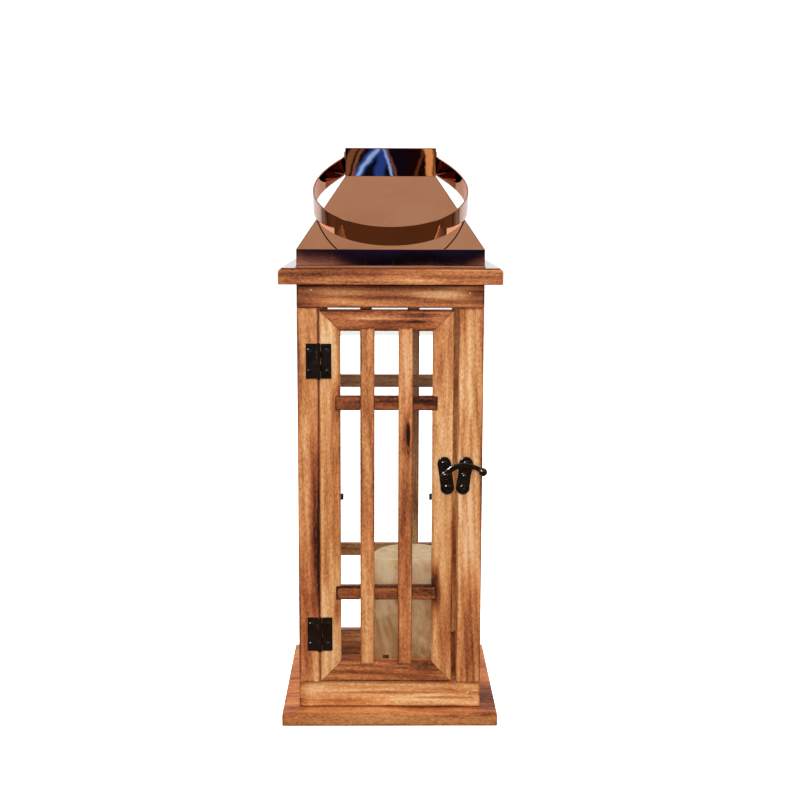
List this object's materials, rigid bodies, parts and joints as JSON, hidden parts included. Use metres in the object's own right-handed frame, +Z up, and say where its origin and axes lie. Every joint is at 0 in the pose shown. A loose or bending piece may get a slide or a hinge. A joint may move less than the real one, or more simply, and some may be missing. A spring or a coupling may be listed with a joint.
{
  "type": "hanging lantern",
  "caption": "Square wooden candle lantern with lattice sides, a glazed lattice door on hinges, a swing latch, a copper roof with a chimney, a swinging strap handle and a pillar candle.",
  "frame": {"origin": "middle of the base board's underside", "axes": "+Z up, +X to the right of someone facing the door, +Y to the back; the door is on the -Y side"},
  "size_m": [0.2, 0.2165, 0.5313],
  "materials": {
    "wood": "scorched and oiled fir, warm honey to red brown, satin",
    "red_wood": "darker, redder scorched fir, satin",
    "glass": "clear float glass",
    "copper": "mirror-bright copper plate on thin sheet",
    "hinge_black": "black lacquered steel, semi-gloss",
    "latch_black": "glossy black enamel on a casting",
    "wax": "ivory wax, slightly mottled",
    "wick": "waxed cotton"
  },
  "bodies": {
    "cabinet": {"back_bar_lower": "wood", "back_bar_upper": "wood", "back_glass": "glass", "back_upright_a": "wood", "back_upright_b": "wood", "base_board": "wood", "bottom_rail_back": "wood", "bottom_rail_front": "wood", "bottom_rail_left": "wood", "bottom_rail_right": "wood", "candle": "wax", "candle_wick": "wick", "chimney": "copper", "handle_rivet_left": "copper", "handle_rivet_right": "copper", "hinge_lower_pin": "hinge_black", "hinge_lower_post_leaf": "hinge_black", "hinge_upper_pin": "hinge_black", "hinge_upper_post_leaf": "hinge_black", "latch_catch_plate": "latch_black", "left_bar_lower": "wood", "left_bar_upper": "wood", "left_glass": "glass", "left_upright_a": "wood", "left_upright_b": "wood", "post_back_left": "wood", "post_back_right": "wood", "post_front_left": "wood", "post_front_right": "wood", "right_bar_lower": "wood", "right_bar_upper": "wood", "right_glass": "glass", "right_upright_a": "wood", "right_upright_b": "wood", "roof_cap": "copper", "top_board": "wood", "top_rail_back": "wood", "top_rail_front": "wood", "top_rail_left": "wood", "top_rail_right": "wood"},
    "door": {"door_bar_lower": "red_wood", "door_bar_upper": "red_wood", "door_clip_bottom": "hinge_black", "door_clip_left": "hinge_black", "door_clip_right": "hinge_black", "door_clip_top": "hinge_black", "door_glass": "glass", "door_rail_bottom": "wood", "door_rail_top": "wood", "door_stile_left": "wood", "door_stile_right": "wood", "door_upright_a": "wood", "door_upright_b": "wood", "hinge_lower_door_leaf": "hinge_black", "hinge_upper_door_leaf": "hinge_black", "latch_door_plate": "latch_black", "latch_pivot_pin": "latch_black"},
    "latch_arm": {"latch_arm": "latch_black"},
    "handle": {"handle_strap": "copper"}
  },
  "joints": [
    {"name": "door_swing", "type": "hinge", "parent": "cabinet", "child": "door", "pos_m": [-0.065, -0.0865, 0.21185], "axis": [0, 0, -1], "range_deg": [0, 165]},
    {"name": "latch_swing", "type": "hinge", "parent": "door", "child": "latch_arm", "pos_m": [0.0509, -0.0885, 0.2345], "axis": [0, -1, 0], "range_deg": [0, 100]},
    {"name": "handle_swing", "type": "hinge", "parent": "cabinet", "child": "handle", "pos_m": [0, 0, 0.5188], "axis": [-1, 0, 0], "range_deg": [0, 241.2]}
  ]
}
